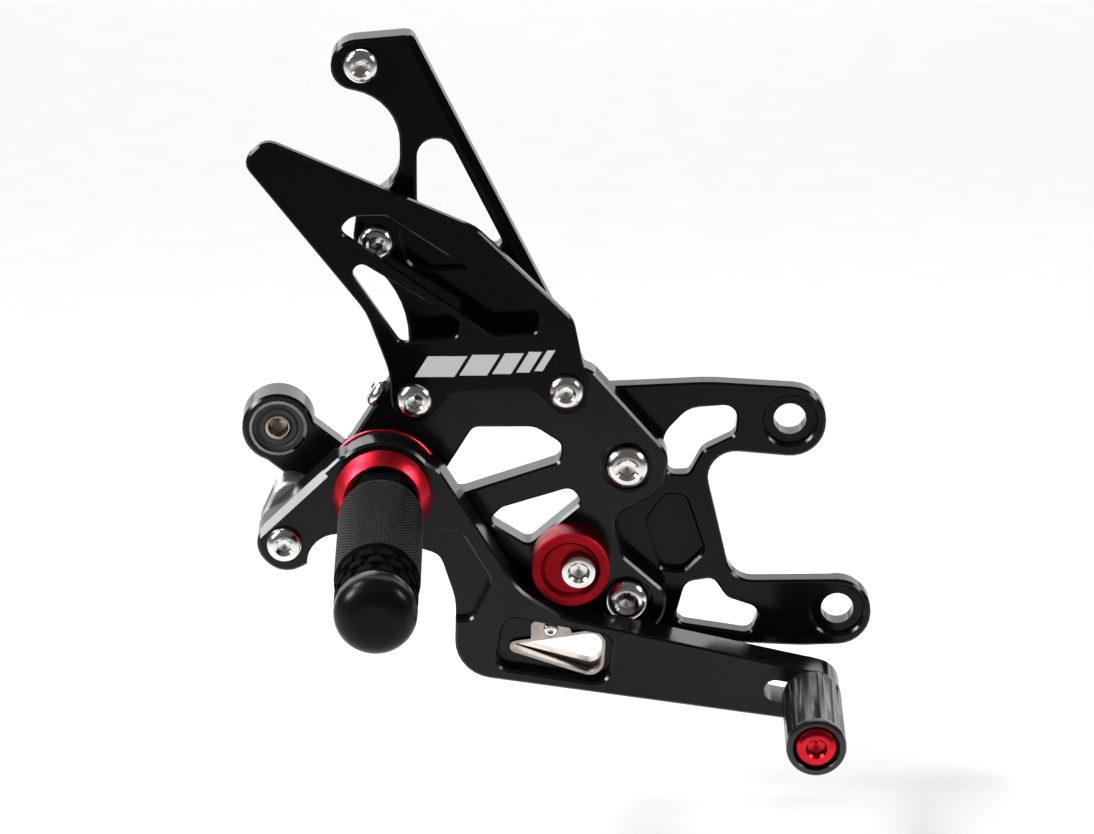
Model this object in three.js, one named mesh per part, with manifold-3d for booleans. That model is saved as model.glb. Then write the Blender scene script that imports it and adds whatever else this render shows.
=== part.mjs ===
// Right-hand rear-set foot peg for a sport motorcycle: a bolt-on bracket, hanger plate and heel guard
// that carry a knurled foot peg, a brake lever with a sliding toe peg, and an exhaust hanger arm.
//
// Millimetres. +X points to the front of the motorcycle, +Z up, and -Y out to the rider's foot.
// The origin is on the frame face of the bracket, halfway between the two hanger bolts.

import * as THREE from "three";
import { mergeVertices } from "three/addons/utils/BufferGeometryUtils.js";
import Module from "manifold-3d";

const wasm = await Module();
wasm.setup();

// ---------------------------------------------------------------- driving dimensions

// The plates, as layers from the frame face at y = 0 out to the rider (negative y).
const PLATE = 8; // bracket, hanger plate and master cylinder stay
const BRACKET_BACK = 0;
const HANGER_BACK = BRACKET_BACK - PLATE;
const HANGER_FRONT = HANGER_BACK - PLATE;
const GUARD_THICKNESS = 3;
const GUARD_FRONT = HANGER_FRONT - GUARD_THICKNESS;
const EXHAUST_ARM_THICKNESS = 7;
const EXHAUST_ARM_BACK = HANGER_BACK + EXHAUST_ARM_THICKNESS;
const BREAK = 0.7; // machined edge break on the thick plates
const GUARD_BREAK = 0.5;
const CUT = 1; // how far a cutting tool reaches past a face
const FACET = 0.07; // how far a faceted arc may cut inside the true arc

// The places that the parts share, as [x, z].
const PEG_AXIS = [-71.5, 18];
const HANGER_BOLTS = { upper: [0, 21.1], lower: [0, -21.1] };
const GUARD_BOLTS = { rear: [-62, 43.6], front: [-17.9, 46.2] };
const STAY_BOLTS = { upper: [-77.1, 142.3], lower: [-73.2, 88.3] };
const FRAME_HOLES = { upper: [47.9, 32.6], lower: [62.7, -27.5] };
const STOP_BOLT = [-14.2, -7.6];
const STOP_AXIS = [-16.6, -7.5];
const ARM_BOLT = [-60.5, 6];
const ARM_BOLT_DEPTH = 6;
const EXHAUST_AXIS = [-102.5, 30.4];
const CLEVIS_AXIS = [-100.2, 3];
const TOE_PEG_AXIS = [54.4, -45.8];
const POCKET_SCREW = [-22.4, -25.4];

// Fasteners: shank and button head radius, head height, socket radius across corners, socket depth.
const M2_5 = { shank: 1.25, head: 2.2, rise: 1.3, socket: 0.9, socketDepth: 0.8 };
const M5 = { shank: 2.5, head: 4.75, rise: 2.6, socket: 1.8, socketDepth: 1.5 };
const M6 = { shank: 3, head: 5.3, rise: 3.2, socket: 2.3, socketDepth: 2 };
const M8 = { shank: 4, head: 6.6, rise: 3.6, socket: 2.9, socketDepth: 2.4 };
const THREAD_GAP = 0.15; // radial gap round a shank in its hole
const CLEARANCE_HOLE = 0.3; // radial gap round a shank that passes through
const BRACKET_RECESS_DEPTH = 3;
const STAY_RECESS_DEPTH = 2.5;
const STAY_CHAMFER = 2.6;
const M8_COUNTERBORE = { radius: 7.4, depth: 1.6 };
const SINK_RIM = 0.6; // chamfer round a sunk hole
const FRAME_HOLE = { radius: 4.8, sink: 7.8, sinkDepth: 2.2, pad: 9 };
const FRAME_ARM_RELIEF = 2.8; // depth behind the arms, round the pads at their holes
const M6_NUT = { radius: 5.7, thinHeight: 4, tallHeight: 5 }; // to its corners
const STAY_BOLT_REACH = 12; // past the stay, into the ear of the master cylinder
const POCKET_SCREW_LENGTH = 7;

// The spring anchor screw goes into the rear edge of the hanger plate, square to that edge.
const EDGE_SCREW = { at: [-72.6, 43.25], slope: Math.atan2(39.5, 24.8), depth: 6.5, clear: 4 };

// The rubber bush in the round boss of the exhaust hanger arm.
const EXHAUST_BOSS = { radius: 10.6, depth: 11, break: 0.8 };
const EXHAUST_ARM_LOBES = { peg: 13, bolt: 7.5 }; // radii round the peg shaft and the arm bolt
const BUSH = { radius: 8.5, insert: 3.9, front: HANGER_BACK + 1.3, back: HANGER_BACK + 10.5 };
const INSERT_SOCKET = { radius: 2.9, depth: 4 };
const CIRCLIP = { width: 0.8, thickness: 1, gap: 5, angle: THREE.MathUtils.degToRad(38) };

// The brake lever and its bearings.
const LEVER_THICKNESS = 12;
const LEVER_BACK = HANGER_FRONT - 2.5;
const LEVER_FRONT = LEVER_BACK - LEVER_THICKNESS;
const LEVER_BOSS_RADIUS = 16.5;
const LEVER_BOSS_RELIEF = 3; // the back of the boss is cut away for the spacer ring
const RUNNING_GAP = 0.1;
const BEARING = { inner: 6.12, outer: 8.9, width: 4, seat: 9 };
const BEARING_BACK = LEVER_BACK - LEVER_BOSS_RELIEF - RUNNING_GAP;
const BEARING_SHIM = { outer: 8.4, inner: 6.8, width: 0.8 };
const REAR_ARM_CHAMFER = { from: [-110, 4.7], to: [-88.6, 25.4], width: 2 };
const REAR_ARM_SCALLOP = { at: [-84.5, -3.2], radius: 9.2 };
const SCOOP_DEPTH = 3;
const POCKET_DEPTH = 4.5;
const TEAR = [
  [-36.5, -30.6, 0.9],
  [-7.2, -26.2, 3.4],
  [-7.6, -38.6, 3.4],
];
const WIDE_TEAR = [
  [-36.5, -30.6, 0.9],
  [-7.2, -26.2, 3.4],
  [-7.8, -40.3, 3.4],
];
const LINER = { wall: 0.9, flange: 1.2, gap: 0.15, seam: 0.5, seamDepth: 0.4 };
const TOE_SLOT = { radius: 3.3, length: 11, angle: THREE.MathUtils.degToRad(-11.3) };
const TOE_PEG = { radius: 8.8, length: 38, flutes: 12, fluteRadius: 1.2, fluteMargin: 3 };
const TOE_BACK = LEVER_FRONT - RUNNING_GAP;
const TOE_FRONT = TOE_BACK - TOE_PEG.length;
const TOE_HEAD = { radius: 6.6, depth: 3.4, proud: 0.4, chamfer: 1.2 };
const TOE_NUT_RADIUS = 6.6;

// The push rod's fork, on the lever's rear arm.
const CLEVIS = {
  front: LEVER_BACK + 0.2,
  back: HANGER_BACK - 0.4,
  halfWidth: 7.7,
  top: 14.5,
  leg: 2.4,
  slotTop: 8.5,
  lean: THREE.MathUtils.degToRad(24),
};

// The eccentric stop that the lever rests on.
const STOP = { radius: 11.6, height: 9.5, recess: 8.8, floor: 7.6, sink: 3.2, head: 5, headHeight: 5 };
const STOP_FRONT = HANGER_FRONT - STOP.height;

// The foot peg.
const SHAFT_RADIUS = 6;
const SHAFT_HEAD = { radius: 10, height: 6.5 };
const SHAFT_WASHER = { radius: 10.6, thickness: 1.6 };
const SPACER = { radius: 13, flange: 17, flangeThickness: 1.2 };
const COLLAR_RADIUS = 14.5;
const COLLAR_FRONT_RADIUS = 11.5;
const COLLAR_LENGTH = 5.4;
const COLLAR_BACK = LEVER_FRONT - RUNNING_GAP;
const COLLAR_FRONT = COLLAR_BACK - COLLAR_LENGTH;
const COLLAR_BORE = 10.9;
const COLLAR_WEB = 1.5;
const NECK_RADIUS = 10.6; // hexagon, to its corners
const GRIP_RADIUS = 12.5;
const GRIP_START = -48.5;
const SHAFT_FRONT = GRIP_START + 4;
const GRIP_END = -99.5;
const GROOVE_COUNT = 3;
const GROOVE_PITCH = 6;
const GROOVE_WIDTH = 1.8;
const GROOVE_RADIUS = 10.6;
const LAND_RADIUS = 11.9;
const GRIP_CHAMFER = 1.4;
const NOTCH_COUNT = 12;
const CAP_START = GRIP_END - GROOVE_COUNT * GROOVE_PITCH;
const CAP_LENGTH = 10;
const CAP_RADIUS = 11.8;
const CAP_STUD = { inCap: 6, inBarrel: 12 };

// ---------------------------------------------------------------- materials

const finish = (color, roughness, metalness) =>
  new THREE.MeshStandardMaterial({ color, roughness, metalness });
const BLACK = finish(0x0b0b0c, 0.3, 0.6);
const RED = finish(0xa40f1c, 0.3, 0.8);
const STEEL = finish(0xc9c7c2, 0.2, 1);
const ZINC = finish(0xb9b6ae, 0.35, 1);
const DELRIN = finish(0x111113, 0.45, 0);
const RUBBER = finish(0x1a1a1b, 0.8, 0);

// ---------------------------------------------------------------- outlines

// The turn between two points of a faceted arc.
const facetAngle = (radius) => 2 * Math.acos(1 - FACET / Math.max(radius, 0.5));

// A closed outline from corners [x, z, fillet radius].
function outline(corners) {
  const fillets = filletsOf(corners);
  fillets.forEach(({ tip, setback }, i) => {
    const next = fillets[(i + 1) % fillets.length];
    if (setback + next.setback > tip.distanceTo(next.tip)) {
      throw new Error("the fillets at " + corners[i] + " and after it run into each other");
    }
  });
  return fillets.flatMap(arcPoints);
}

function filletsOf(corners) {
  const after = [...corners.slice(1), corners[0]];
  return corners.map((corner, i) => filletAt(corner, corners.at(i - 1), after[i]));
}

// The corners of a convex outline that is larger all round.
function grown(corners, margin) {
  return filletsOf(corners).map(({ tip, centre, radius }) => {
    const moved = tip.sub(centre).multiplyScalar((radius + margin) / radius).add(centre);
    return [moved.x, moved.y, radius + margin];
  });
}

function filletAt([x, z, radius], before, after) {
  const tip = new THREE.Vector2(x, z);
  const back = new THREE.Vector2(before[0], before[1]).sub(tip).normalize();
  const ahead = new THREE.Vector2(after[0], after[1]).sub(tip).normalize();
  const half = back.angleTo(ahead) / 2;
  const setback = radius / Math.tan(half);
  const turn = Math.sign(ahead.cross(back)) * (Math.PI - 2 * half);
  const centre = back.clone().add(ahead).setLength(radius / Math.sin(half)).add(tip);
  const start = back.multiplyScalar(setback).add(tip).sub(centre).angle();
  return { tip, radius, setback, centre, start, turn };
}

function arcPoints({ radius, centre, start, turn }) {
  const steps = Math.ceil(Math.abs(turn) / facetAngle(radius));
  return Array.from({ length: steps + 1 }, (_, i) => {
    const angle = start + (turn * i) / steps;
    return new THREE.Vector2(Math.cos(angle), Math.sin(angle)).multiplyScalar(radius).add(centre);
  });
}

// A round-ended slot of the given length between its end centres, from one end centre.
function slotOutline([x, z], radius, length, angle) {
  const along = new THREE.Vector2(Math.cos(angle), Math.sin(angle));
  const across = new THREE.Vector2(-along.y, along.x);
  const corner = (u, v) => [x + along.x * u + across.x * v, z + along.y * u + across.y * v, radius * 0.999];
  return outline([
    corner(-radius, -radius),
    corner(length + radius, -radius),
    corner(length + radius, radius),
    corner(-radius, radius),
  ]);
}

// ---------------------------------------------------------------- solids

// A closed three.js geometry as a solid that can be joined and cut.
function solid(geometry) {
  const bare = geometry.index ? geometry.toNonIndexed() : geometry.clone();
  bare.deleteAttribute("normal");
  bare.deleteAttribute("uv");
  const merged = mergeVertices(bare, 1e-4);
  const vertProperties = merged.attributes.position.array;
  const triVerts = new Uint32Array(merged.index.array);
  const made = new wasm.Manifold(new wasm.Mesh({ numProp: 3, vertProperties, triVerts }));
  return made.volume() < 0 ? solid(turnInsideOut(merged)) : made;
}

function turnInsideOut(geometry) {
  const turned = geometry.clone();
  turned.setIndex(Array.from(geometry.index.array).reverse());
  return turned;
}

// A prism of an outline in the XZ plane, from y = back forwards to y = front (front < back).
function prism(points, front, back, edge = 0, holes = []) {
  const clockwise = THREE.ShapeUtils.isClockWise(points);
  const shape = new THREE.Shape(clockwise ? [...points].reverse() : points);
  holes.forEach((hole) => shape.holes.push(new THREE.Path(hole)));
  const geometry = new THREE.ExtrudeGeometry(shape, {
    depth: back - front - 2 * edge,
    bevelEnabled: edge > 0,
    bevelSegments: 1,
    bevelSize: edge,
    bevelThickness: edge,
    bevelOffset: -edge,
  });
  return solid(geometry.rotateX(Math.PI / 2).translate(0, back - edge, 0));
}

const sidesOf = (radius) => Math.max(12, 2 * Math.ceil(Math.PI / facetAngle(radius)));

// A cylinder along Y at [x, z], from y = front back to y = back.
function rod([x, z], radius, front, back, sides = sidesOf(radius)) {
  const geometry = new THREE.CylinderGeometry(radius, radius, back - front, sides);
  return solid(geometry.translate(x, (front + back) / 2, z));
}

// A body turned about the Y axis at [x, z] from a closed profile of [radius, y] points.
function turned(profile, [x, z] = [0, 0], sides = 36) {
  const points = [...profile, profile[0]].map(([radius, y]) => new THREE.Vector2(radius, y));
  return solid(new THREE.LatheGeometry(points, sides).translate(x, 0, z));
}

// A flat ring round the axis at [x, z].
function ring(centre, outer, inner, front, back) {
  return rod(centre, outer, front, back).subtract(rod(centre, inner, front - 1, back + 1));
}

// A round sink in a face that looks out to the rider, with a chamfered rim.
function sink(centre, radius, face, depth) {
  const wide = radius + SINK_RIM + CUT;
  const profile = [
    [0, face - CUT],
    [wide, face - CUT],
    [radius, face + SINK_RIM],
    [radius, face + depth],
    [0, face + depth],
  ];
  return turned(profile, centre, sidesOf(radius));
}

// A pocket cut into a face that looks out to the rider, with a chamfered rim. Its corners are convex.
function pocket(corners, face, depth, rim = BREAK) {
  const hollow = prism(outline(corners), face - CUT, face + depth);
  return hollow.add(prism(outline(grown(corners, rim)), face - CUT - rim, face + rim, rim));
}

// A bar that cuts a chamfer along a straight edge of a face that looks out to the rider.
function chamferBar(from, to, face, width) {
  const [dx, dz] = [to[0] - from[0], to[1] - from[1]];
  const side = width * Math.SQRT2;
  const bar = new THREE.BoxGeometry(side, side, Math.hypot(dx, dz));
  bar.rotateZ(Math.PI / 4);
  bar.rotateY(Math.atan2(dx, dz));
  return solid(bar.translate((from[0] + to[0]) / 2, face, (from[1] + to[1]) / 2));
}

const cut = (body, ...tools) => tools.reduce((left, tool) => left.subtract(tool), body);
const join = (body, ...more) => more.reduce((sum, next) => sum.add(next), body);

// A screw on the Y axis, with its head under y = 0 and its shank from y = 0 to y = length.
function screw(size, length, profile) {
  const body = turned([...profile, [size.shank, 0], [size.shank, length], [0, length]], [0, 0], 18);
  const bottom = profile[0][1];
  return body.subtract(rod([0, 0], size.socket, bottom - 1, bottom + size.socketDepth, 6));
}

function buttonScrew(size, length) {
  const steps = 3;
  const dome = Array.from({ length: steps }, (_, i) => {
    const angle = ((i + 1) / (steps + 1)) * (Math.PI / 2);
    return [size.head * (0.45 + 0.55 * Math.sin(angle)), -size.rise * Math.cos(angle)];
  });
  const flat = [
    [0, -size.rise],
    [size.head * 0.45, -size.rise],
  ];
  return screw(size, length, [...flat, ...dome, [size.head, -0.4], [size.head, 0]]);
}

function hexNut(centre, radius, front, back) {
  const bore = rod(centre, M6.shank + THREAD_GAP, front - CUT, back + CUT);
  return cut(rod(centre, radius, front, back, 6), bore);
}

// ---------------------------------------------------------------- the scene graph

const assembly = new THREE.Group();

function place(name, body, material, position = [0, 0, 0], group = assembly) {
  const made = body.getMesh();
  const geometry = new THREE.BufferGeometry();
  geometry.setAttribute("position", new THREE.BufferAttribute(made.vertProperties, 3));
  geometry.setIndex(new THREE.BufferAttribute(made.triVerts, 1));
  geometry.computeVertexNormals();
  const mesh = new THREE.Mesh(geometry, material);
  mesh.name = name;
  mesh.position.set(...position);
  group.add(mesh);
  return mesh;
}

// ---------------------------------------------------------------- plates

function frameBracket() {
  const edge = outline([
    [-11, 43.2, 7],
    [24, 44.8, 40],
    [58.6, 42.6, 10.4],
    [58.4, 20.5, 10.4],
    [21.6, 23.9, 8.2],
    [31.2, -17.9, 8],
    [72.7, -17.5, 10.1],
    [72.5, -38.1, 10.1],
    [52, -38.8, 30],
    [10, -36.8, 14],
    [-11, -30.5, 9],
  ]);
  const upperWindow = outline([
    [12.1, 15.7, 2.8],
    [10.2, 28, 8],
    [18, 36.6, 8],
    [32.8, 37.8, 3.8],
    [31.8, 28.3, 2.6],
    [22.2, 23.4, 5],
    [18.3, 15.9, 2.2],
  ]);
  const lowerWindow = outline([
    [14.1, -31, 3.4],
    [17.5, -18.5, 3.6],
    [25.8, -17.1, 3],
    [29.8, -23.3, 4],
    [39.8, -26.8, 3],
    [37, -34.7, 3],
  ]);
  const recess = [
    [5.8, 1.2, 2],
    [11.3, 9.5, 3],
    [17.4, 9.2, 3],
    [23.1, -8.5, 3],
    [16.6, -14.9, 3],
    [10.2, -14.2, 3],
  ];
  const front = BRACKET_BACK - PLATE;
  const plate = prism(edge, front, BRACKET_BACK, BREAK, [upperWindow, lowerWindow]);
  const holes = Object.values(FRAME_HOLES).flatMap((hole) => [
    rod(hole, FRAME_HOLE.radius, front - CUT, BRACKET_BACK + CUT),
    sink(hole, FRAME_HOLE.sink, front, FRAME_HOLE.sinkDepth),
  ]);
  const threads = Object.values(HANGER_BOLTS).map((bolt) =>
    rod(bolt, M8.shank + THREAD_GAP, front - CUT, BRACKET_BACK + CUT),
  );
  return cut(plate, armRelief(), pocket(recess, front, BRACKET_RECESS_DEPTH), ...holes, ...threads);
}

// What is cut away behind the bracket's arms, round the pads that rest on the frame.
function armRelief() {
  const behind = outline([
    [-8.5, 46.5, 1],
    [5.5, 27.5, 5],
    [9, 10, 5],
    [9, -60, 1],
    [90, -60, 1],
    [90, 60, 1],
    [-8.5, 60, 1],
  ]);
  const floor = BRACKET_BACK - FRAME_ARM_RELIEF;
  const pads = Object.values(FRAME_HOLES).map((hole) =>
    rod(hole, FRAME_HOLE.pad, floor - CUT, BRACKET_BACK + 2 * CUT),
  );
  return cut(prism(behind, floor, BRACKET_BACK + CUT), ...pads);
}

function hangerPlate() {
  const edge = outline([
    [-91.7, 12.4, 14.2],
    [11.7, -40.3, 11.6],
    [11.7, -18.4, 5],
    [-1.4, -6.6, 6],
    [-4.6, 5, 5],
    [10, 13.2, 7],
    [12.7, 24.8, 8],
    [-9.6, 50.8, 4],
    [-22, 57, 6],
    [-60, 54.5, 8],
    [-66.9, 51.9, 4],
  ]);
  const upperWindow = outline([
    [-56.5, 15, 3.5],
    [-45.2, 33.7, 3],
    [-27, 33.8, 7],
    [-19, 28.4, 3],
    [-19.8, 22.8, 2.5],
    [-48.5, 13, 4],
  ]);
  const lowerWindow = outline([
    [-41, 4.2, 2.2],
    [-36.8, 8.4, 3],
    [-16.4, 14.8, 3],
    [-13.2, 10.4, 2],
    [-28.9, -3.4, 2.6],
  ]);
  const plate = prism(edge, HANGER_FRONT, HANGER_BACK, BREAK, [upperWindow, lowerWindow]);
  const through = (at, radius) => rod(at, radius, HANGER_FRONT - CUT, HANGER_BACK + CUT);
  const holes = [
    through(PEG_AXIS, SHAFT_RADIUS + THREAD_GAP),
    through(STOP_BOLT, M6.shank + THREAD_GAP),
    rod(ARM_BOLT, M6.shank + THREAD_GAP, HANGER_BACK - ARM_BOLT_DEPTH, HANGER_BACK + CUT),
    ...Object.values(GUARD_BOLTS).map((bolt) => through(bolt, M6.shank + CLEARANCE_HOLE)),
    ...Object.values(HANGER_BOLTS).map((bolt) => through(bolt, M8.shank + CLEARANCE_HOLE)),
    ...Object.values(HANGER_BOLTS).map((bolt) =>
      sink(bolt, M8_COUNTERBORE.radius, HANGER_FRONT, M8_COUNTERBORE.depth),
    ),
  ];
  return cut(plate, ...holes, springScrewHole());
}

// Moves a body on the Y axis to the rear edge of the hanger plate, with its +Y end in the plate.
function toRearEdge(body) {
  const y = (HANGER_FRONT + HANGER_BACK) / 2;
  const turn = new THREE.Matrix4().makeRotationY(Math.PI / 2 - EDGE_SCREW.slope);
  const lay = new THREE.Matrix4().makeRotationZ(-Math.PI / 2);
  const move = new THREE.Matrix4().makeTranslation(EDGE_SCREW.at[0], y, EDGE_SCREW.at[1]);
  return body.transform(move.multiply(turn).multiply(lay).toArray());
}

function springScrewHole() {
  return toRearEdge(rod([0, 0], M5.shank + THREAD_GAP, -EDGE_SCREW.clear, EDGE_SCREW.depth));
}

function heelGuard() {
  const edge = outline([
    [-104.5, 123.3, 5],
    [-43.9, 96.2, 12],
    [-15.6, 67.9, 8],
    [-13.3, 56, 14],
    [-10.2, 42, 6],
    [-18.8, 37.6, 4.5],
    [-27.2, 46.7, 6],
    [-50.8, 46.2, 6],
    [-60.4, 34.9, 5.5],
    [-68.9, 40.2, 6],
    [-69.4, 52, 20],
    [-76, 70.5, 20],
    [-111.6, 116.5, 4],
  ]);
  const upperSlot = outline([
    [-84.2, 95.6, 2.5],
    [-80, 99.8, 4],
    [-70, 100.1, 4],
    [-25.1, 69.3, 2.6],
    [-26.8, 63.6, 2.6],
    [-38.8, 62.9, 2.2],
  ]);
  const lowerSlot = outline([
    [-86, 91.2, 2.6],
    [-48.2, 67.3, 2.6],
    [-49.8, 62.6, 2.6],
    [-66, 60.9, 2.6],
  ]);
  const plate = prism(edge, GUARD_FRONT, HANGER_FRONT, GUARD_BREAK, [upperSlot, lowerSlot]);
  const holes = Object.values(GUARD_BOLTS).map((bolt) =>
    rod(bolt, M6.shank + CLEARANCE_HOLE, GUARD_FRONT - CUT, HANGER_FRONT + CUT),
  );
  return cut(plate, ...holes);
}

function masterCylinderStay() {
  const top = [-62.4, 151.3];
  const low = [-12.4, 49.4];
  const edge = outline([
    [-85.4, 149.2, 7.8],
    [...top, 3],
    [...low, 6],
    [-12.2, 38.8, 5],
    [-69.5, 36.3, 6],
    [-69.5, 48.5, 3],
    [-63.9, 54, 3],
    [-63.9, 70.5, 30],
    [-80.2, 87.4, 7],
    [-78.6, 98.6, 6],
    [-66.1, 108, 12],
    [-66.1, 131.8, 16],
    [-86.2, 135.8, 7],
  ]);
  const window = outline([
    [-61.2, 98, 2.5],
    [-61.2, 120.4, 5.5],
    [-51.6, 119.4, 4.5],
    [-36.2, 88, 1.5],
    [-38.4, 85.8, 1],
  ]);
  const recess = [
    [-66.6, 95.5, 2.5],
    [-64, 79.5, 7],
    [-41.5, 80.5, 2.5],
    [-58.5, 94, 2.5],
  ];
  const front = HANGER_BACK;
  const back = front + PLATE;
  const plate = prism(edge, front, back, BREAK, [window]);
  const fixings = Object.values(GUARD_BOLTS).map((bolt) =>
    rod(bolt, M6.shank + THREAD_GAP, front - CUT, back + CUT),
  );
  const mounts = Object.values(STAY_BOLTS).map((bolt) =>
    rod(bolt, M6.shank + CLEARANCE_HOLE, front - CUT, back + CUT),
  );
  const hollow = pocket(recess, front, STAY_RECESS_DEPTH);
  return cut(plate, hollow, ...fixings, ...mounts, chamferBar(low, top, front, STAY_CHAMFER));
}

// An arm from behind the peg to a round boss, drawn along a line that slopes down to the front.
function exhaustHangerArm() {
  const length = 50;
  const bossBack = HANGER_BACK + EXHAUST_BOSS.depth;
  const along = new THREE.Vector2(0.777, -0.629);
  const across = new THREE.Vector2(0.629, 0.777);
  const corner = (u, v, radius) => [
    EXHAUST_AXIS[0] + along.x * u + across.x * v,
    EXHAUST_AXIS[1] + along.y * u + across.y * v,
    radius,
  ];
  const strip = outline([
    corner(-4, -9.9, 2),
    corner(length - 3, -9.9, 8),
    corner(length, 8, 6),
    corner(-4, 8, 2),
  ]);
  const boss = [
    [0, HANGER_BACK],
    [EXHAUST_BOSS.radius - EXHAUST_BOSS.break, HANGER_BACK],
    [EXHAUST_BOSS.radius, HANGER_BACK + EXHAUST_BOSS.break],
    [EXHAUST_BOSS.radius, bossBack - EXHAUST_BOSS.break],
    [EXHAUST_BOSS.radius - EXHAUST_BOSS.break, bossBack],
    [0, bossBack],
  ];
  const arm = join(
    prism(strip, HANGER_BACK, EXHAUST_ARM_BACK, BREAK),
    turned(boss, EXHAUST_AXIS),
    rod(PEG_AXIS, EXHAUST_ARM_LOBES.peg, HANGER_BACK, EXHAUST_ARM_BACK),
    rod(ARM_BOLT, EXHAUST_ARM_LOBES.bolt, HANGER_BACK, EXHAUST_ARM_BACK),
  );
  const through = (at, radius) => rod(at, radius, HANGER_BACK - CUT, bossBack + CUT);
  return cut(
    arm,
    through(EXHAUST_AXIS, BUSH.radius + RUNNING_GAP),
    through(PEG_AXIS, SHAFT_RADIUS + THREAD_GAP),
    through(ARM_BOLT, M6.shank + CLEARANCE_HOLE),
  );
}

// ---------------------------------------------------------------- exhaust hanger bush

function exhaustBush() {
  return ring(EXHAUST_AXIS, BUSH.radius, BUSH.insert + RUNNING_GAP, BUSH.front, BUSH.back);
}

function exhaustBushInsert() {
  const body = rod(EXHAUST_AXIS, BUSH.insert, BUSH.front - 0.3, BUSH.back + 0.5);
  const { radius, depth } = INSERT_SOCKET;
  return cut(body, rod(EXHAUST_AXIS, radius, BUSH.front - CUT, BUSH.front + depth, 6));
}

// A snap ring in front of the bush, open at its lower front side.
function exhaustBushCirclip() {
  const back = BUSH.front - RUNNING_GAP;
  const front = back - CIRCLIP.thickness;
  const gap = new THREE.BoxGeometry(4 * CIRCLIP.width, 4 * CIRCLIP.thickness, CIRCLIP.gap);
  gap.translate(BUSH.radius, 0, 0);
  gap.rotateY(CIRCLIP.angle);
  gap.translate(EXHAUST_AXIS[0], front, EXHAUST_AXIS[1]);
  return cut(ring(EXHAUST_AXIS, BUSH.radius, BUSH.radius - CIRCLIP.width, front, back), solid(gap));
}

// ---------------------------------------------------------------- foot peg

function pegShaft() {
  const seat = EXHAUST_ARM_BACK + SHAFT_WASHER.thickness;
  const shank = rod(PEG_AXIS, SHAFT_RADIUS, SHAFT_FRONT, seat + 1, 32);
  return join(shank, rod(PEG_AXIS, SHAFT_HEAD.radius, seat, seat + SHAFT_HEAD.height, 6));
}

function pegShaftWasher() {
  const back = EXHAUST_ARM_BACK + SHAFT_WASHER.thickness;
  return ring(PEG_AXIS, SHAFT_WASHER.radius, SHAFT_RADIUS + THREAD_GAP, EXHAUST_ARM_BACK, back);
}

// A stepped ring that keeps the lever off the hanger plate. Its flange shows round the lever's boss.
function leverSpacerRing() {
  const bore = SHAFT_RADIUS + THREAD_GAP;
  const front = LEVER_BACK - LEVER_BOSS_RELIEF + RUNNING_GAP;
  const flange = ring(PEG_AXIS, SPACER.flange, bore, front, front + SPACER.flangeThickness);
  return join(flange, ring(PEG_AXIS, SPACER.radius, bore, front, HANGER_FRONT));
}

function pegCollar() {
  const bore = SHAFT_RADIUS + THREAD_GAP;
  return turned(
    [
      [bore, COLLAR_BACK],
      [COLLAR_RADIUS - 0.4, COLLAR_BACK],
      [COLLAR_RADIUS, COLLAR_BACK - 0.4],
      [COLLAR_RADIUS, COLLAR_BACK - 1.2],
      [COLLAR_FRONT_RADIUS, COLLAR_FRONT],
      [COLLAR_BORE, COLLAR_FRONT],
      [COLLAR_BORE, COLLAR_BACK - COLLAR_WEB],
      [bore, COLLAR_BACK - COLLAR_WEB],
    ],
    PEG_AXIS,
    40,
  );
}

// One turned piece: the hexagon neck, the grip that is knurled, and the notched grooves at its end.
function pegBarrel() {
  const neck = rod([0, 0], NECK_RADIUS, GRIP_START - 0.5, COLLAR_BACK - COLLAR_WEB, 6)
    .rotate([0, 30, 0]) // a flat of the hexagon looks up
    .translate([PEG_AXIS[0], 0, PEG_AXIS[1]]);
  const profile = [
    [0, GRIP_START],
    [GRIP_RADIUS - 0.8, GRIP_START],
    [GRIP_RADIUS, GRIP_START - 0.8],
    [GRIP_RADIUS, GRIP_END + GRIP_CHAMFER],
    [GRIP_RADIUS - GRIP_CHAMFER, GRIP_END],
  ];
  for (let i = 0; i < GROOVE_COUNT; i += 1) {
    const start = GRIP_END - i * GROOVE_PITCH;
    const floor = start - GROOVE_WIDTH;
    const last = start - GROOVE_PITCH;
    profile.push([GROOVE_RADIUS, start - 0.3], [GROOVE_RADIUS, floor], [LAND_RADIUS, floor - 0.3]);
    profile.push([LAND_RADIUS, last]);
  }
  profile.push([0, CAP_START]);
  const body = join(neck, turned(profile, PEG_AXIS, 48));
  const shaftHole = rod(PEG_AXIS, SHAFT_RADIUS + THREAD_GAP, SHAFT_FRONT - 1, 0);
  const capHole = rod(PEG_AXIS, M6.shank + THREAD_GAP, CAP_START - CUT, CAP_START + CAP_STUD.inBarrel + 2);
  return cut(body, shaftHole, capHole, ...pegNotches());
}

// Notches across each land between the grooves, all round the peg.
function pegNotches() {
  const notches = [];
  for (let row = 0; row < GROOVE_COUNT; row += 1) {
    const middle = GRIP_END - row * GROOVE_PITCH - (GROOVE_WIDTH + GROOVE_PITCH) / 2;
    for (let i = 0; i < NOTCH_COUNT; i += 1) {
      const notch = new THREE.BoxGeometry(3, GROOVE_PITCH - GROOVE_WIDTH + 0.6, 2);
      notch.translate(GROOVE_RADIUS + 1.5, middle, 0);
      notch.rotateY(((i + row / 2) * 2 * Math.PI) / NOTCH_COUNT);
      notches.push(solid(notch.translate(PEG_AXIS[0], 0, PEG_AXIS[1])));
    }
  }
  return notches;
}

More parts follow.
